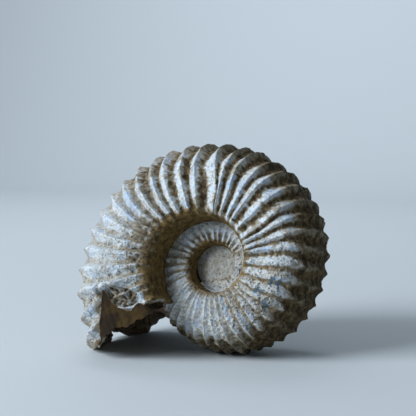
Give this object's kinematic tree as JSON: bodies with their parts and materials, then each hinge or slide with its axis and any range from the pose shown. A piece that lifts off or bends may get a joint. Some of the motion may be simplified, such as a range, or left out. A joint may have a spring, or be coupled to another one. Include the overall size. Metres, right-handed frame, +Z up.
{
  "type": "ammonite fossil",
  "caption": "Coiled, strongly ribbed ammonite shell in stone with a deep umbilicus and a broken hollow mouth, standing on edge.",
  "frame": {"origin": "centre of the bounding box, on the ground the fossil stands on", "axes": "+Z up, +X away from the mouth along the longest extent, -Y towards the flank that is seen, the coil leaning back towards +Y"},
  "size_m": [0.176, 0.129, 0.1444],
  "materials": {
    "limestone": "dry, chalky and rough"
  },
  "bodies": {
    "root": {"ammonite_fossil": "limestone"}
  },
  "joints": []
}
